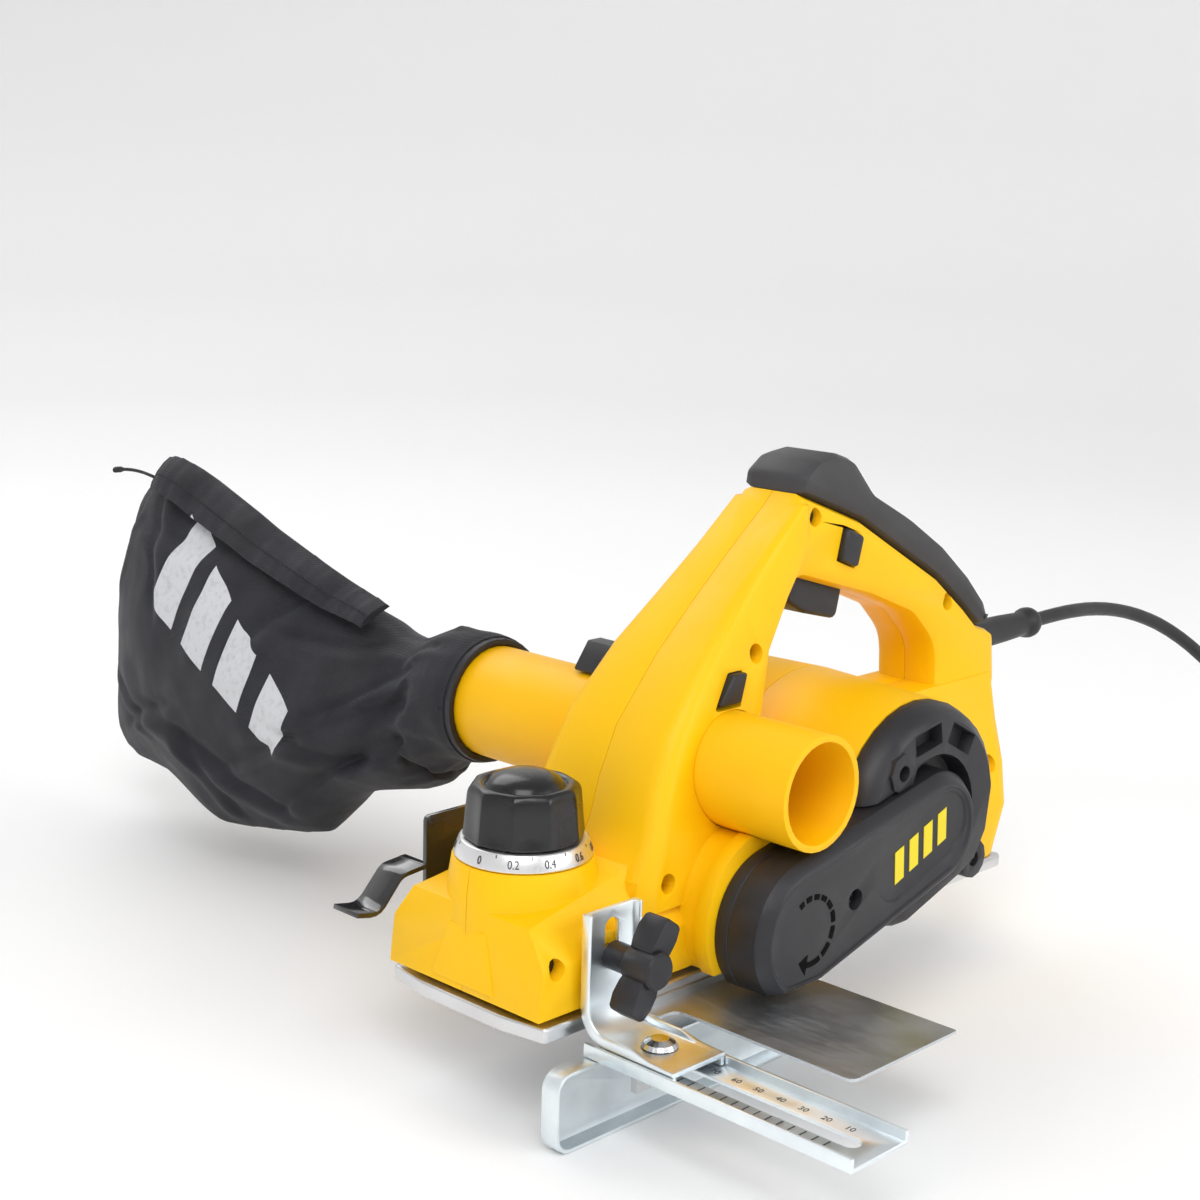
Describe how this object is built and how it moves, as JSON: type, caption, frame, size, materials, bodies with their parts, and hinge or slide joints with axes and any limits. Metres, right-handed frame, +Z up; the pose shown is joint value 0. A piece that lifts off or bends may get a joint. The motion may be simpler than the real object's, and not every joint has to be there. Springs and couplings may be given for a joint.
{
  "type": "thickness planer",
  "caption": "Hand-held electric thickness planer with a closed handle, soles round a bladed drum, depth knob, belt cover, sliding fence, chip duct, cloth dust bag and power cord.",
  "frame": {"origin": "underside of the rear sole, at the middle of its width, under the middle of the machine", "axes": "+X to the rear, -X to the nose with the depth knob; -Y to the belt-cover side; +Z up, square to the soles"},
  "size_m": [0.5756, 0.631, 0.2323],
  "materials": {
    "yellow_plastic": "satin",
    "yellow_duct": "satin",
    "black_plastic": "satin",
    "soft_grip": "matte",
    "silver_scale": "satin",
    "sole_aluminium": "machined",
    "bright_steel": "bright",
    "dark_screws": "blackened",
    "zinc_plate": "zinc plated",
    "grey_sheet": "rolled",
    "gloss_black_steel": "gloss",
    "blade_steel": "ground",
    "laminations": "dull",
    "copper": "bright",
    "cord_rubber": "matte",
    "belt_rubber": "matte",
    "bag_cloth": "woven"
  },
  "bodies": {
    "body": {"housing_near": "yellow_plastic", "housing_far": "yellow_plastic", "chip_duct": "yellow_duct", "screw_front_low": "dark_screws", "screw_front_high": "dark_screws", "screw_tower": "dark_screws", "screw_grip_front": "dark_screws", "screw_grip_rear": "dark_screws", "screw_rear": "dark_screws", "sole_rear": "sole_aluminium", "depth_scale_ring": "silver_scale", "drum_bearing_near": "bright_steel", "drum_bearing_far": "bright_steel", "belt_cover": "black_plastic", "cover_screw": "dark_screws", "motor_end_cap": "black_plastic", "cap_screw_low": "dark_screws", "cap_screw_high": "dark_screws", "stator": "laminations", "motor_bearing_near": "bright_steel", "motor_bearing_far": "bright_steel", "brush_upper": "black_plastic", "brush_lower": "black_plastic", "switch_body": "black_plastic", "handle_grip": "soft_grip", "strain_relief": "cord_rubber", "drive_belt": "belt_rubber", "wing_stud": "bright_steel", "power_cord": "cord_rubber", "cord_coil": "cord_rubber", "plug": "cord_rubber"},
    "front_sole": {"sole_front": "sole_aluminium", "depth_spindle": "bright_steel"},
    "knob": {"depth_knob": "black_plastic"},
    "armature": {"armature_shaft": "bright_steel", "rotor_core": "laminations", "commutator": "copper", "cooling_fan": "black_plastic", "motor_pulley": "bright_steel"},
    "cutter": {"cutter_drum": "sole_aluminium", "blade_a": "blade_steel", "blade_b": "blade_steel", "drum_pulley": "black_plastic"},
    "trigger": {"trigger": "black_plastic"},
    "lock_button": {"lock_button": "black_plastic"},
    "selector": {"chip_selector": "black_plastic"},
    "bag": {"bag_collar": "black_plastic", "dust_bag": "bag_cloth", "zip_pull": "black_plastic"},
    "bracket": {"fence_bracket": "zinc_plate", "carriage_bolt": "bright_steel"},
    "fence": {"fence_rail": "zinc_plate", "fence_plate": "zinc_plate"},
    "nut": {"rail_nut": "bright_steel"},
    "wing_knob": {"wing_knob": "black_plastic"},
    "guard": {"guard_plate": "grey_sheet"},
    "rebate": {"rebate_stop": "gloss_black_steel"},
    "rebate_knob": {"stop_knob": "black_plastic"}
  },
  "joints": [
    {"name": "depth_turn", "type": "hinge", "parent": "body", "child": "knob", "pos_m": [-0.176, 0, 0.062], "axis": [0, 0, 1], "range_deg": [0, 180]},
    {"name": "sole_lift", "type": "slide", "parent": "body", "child": "front_sole", "axis": [0, 0, 1], "range_m": [0, 0.002]},
    {"name": "armature_spin", "type": "hinge", "parent": "body", "child": "armature", "pos_m": [-0.012, 0, 0.05], "axis": [0, 1, 0], "continuous": true},
    {"name": "cutter_spin", "type": "hinge", "parent": "body", "child": "cutter", "pos_m": [-0.097, 0, 0.027], "axis": [0, 1, 0], "continuous": true},
    {"name": "trigger_press", "type": "slide", "parent": "body", "child": "trigger", "axis": [0.2425, 0, 0.9701], "range_m": [0, 0.003], "stiffness_N_per_m": 600, "springref_m": -0.002},
    {"name": "lock_press", "type": "slide", "parent": "body", "child": "lock_button", "axis": [0, 1, 0], "range_m": [0, 0.0025], "stiffness_N_per_m": 400, "springref_m": -0.002},
    {"name": "selector_push", "type": "slide", "parent": "body", "child": "selector", "axis": [0, 1, 0], "range_m": [-0.014, 0]},
    {"name": "bag_pull", "type": "slide", "parent": "body", "child": "bag", "axis": [0, 1, 0], "range_m": [0, 0.025]},
    {"name": "fence_height", "type": "slide", "parent": "body", "child": "bracket", "axis": [0, 0, 1], "range_m": [-0.008, 0.001]},
    {"name": "fence_reach", "type": "slide", "parent": "bracket", "child": "fence", "axis": [0, 1, 0], "range_m": [0, 0.07]},
    {"name": "nut_turn", "type": "hinge", "parent": "bracket", "child": "nut", "pos_m": [-0.175, -0.071, -0.009], "axis": [0, 0, 1], "range_deg": [0, 270]},
    {"name": "wing_turn", "type": "hinge", "parent": "body", "child": "wing_knob", "pos_m": [-0.175, -0.06, 0.0285], "axis": [0, 1, 0], "range_deg": [0, 270]},
    {"name": "guard_slide", "type": "slide", "parent": "body", "child": "guard", "axis": [0, 1, 0], "range_m": [-0.04, 0]},
    {"name": "rebate_height", "type": "slide", "parent": "body", "child": "rebate", "axis": [0, 0, 1], "range_m": [-0.005, 0.006]},
    {"name": "rebate_turn", "type": "hinge", "parent": "body", "child": "rebate_knob", "pos_m": [-0.15, 0.05, 0.0285], "axis": [0, 1, 0], "range_deg": [0, 270]}
  ],
  "couplings": [
    {"joint": "depth_turn", "follows": "sole_lift", "rad_per_m": 1570.8},
    {"joint": "cutter_spin", "follows": "armature_spin", "ratio": 0.52941}
  ]
}
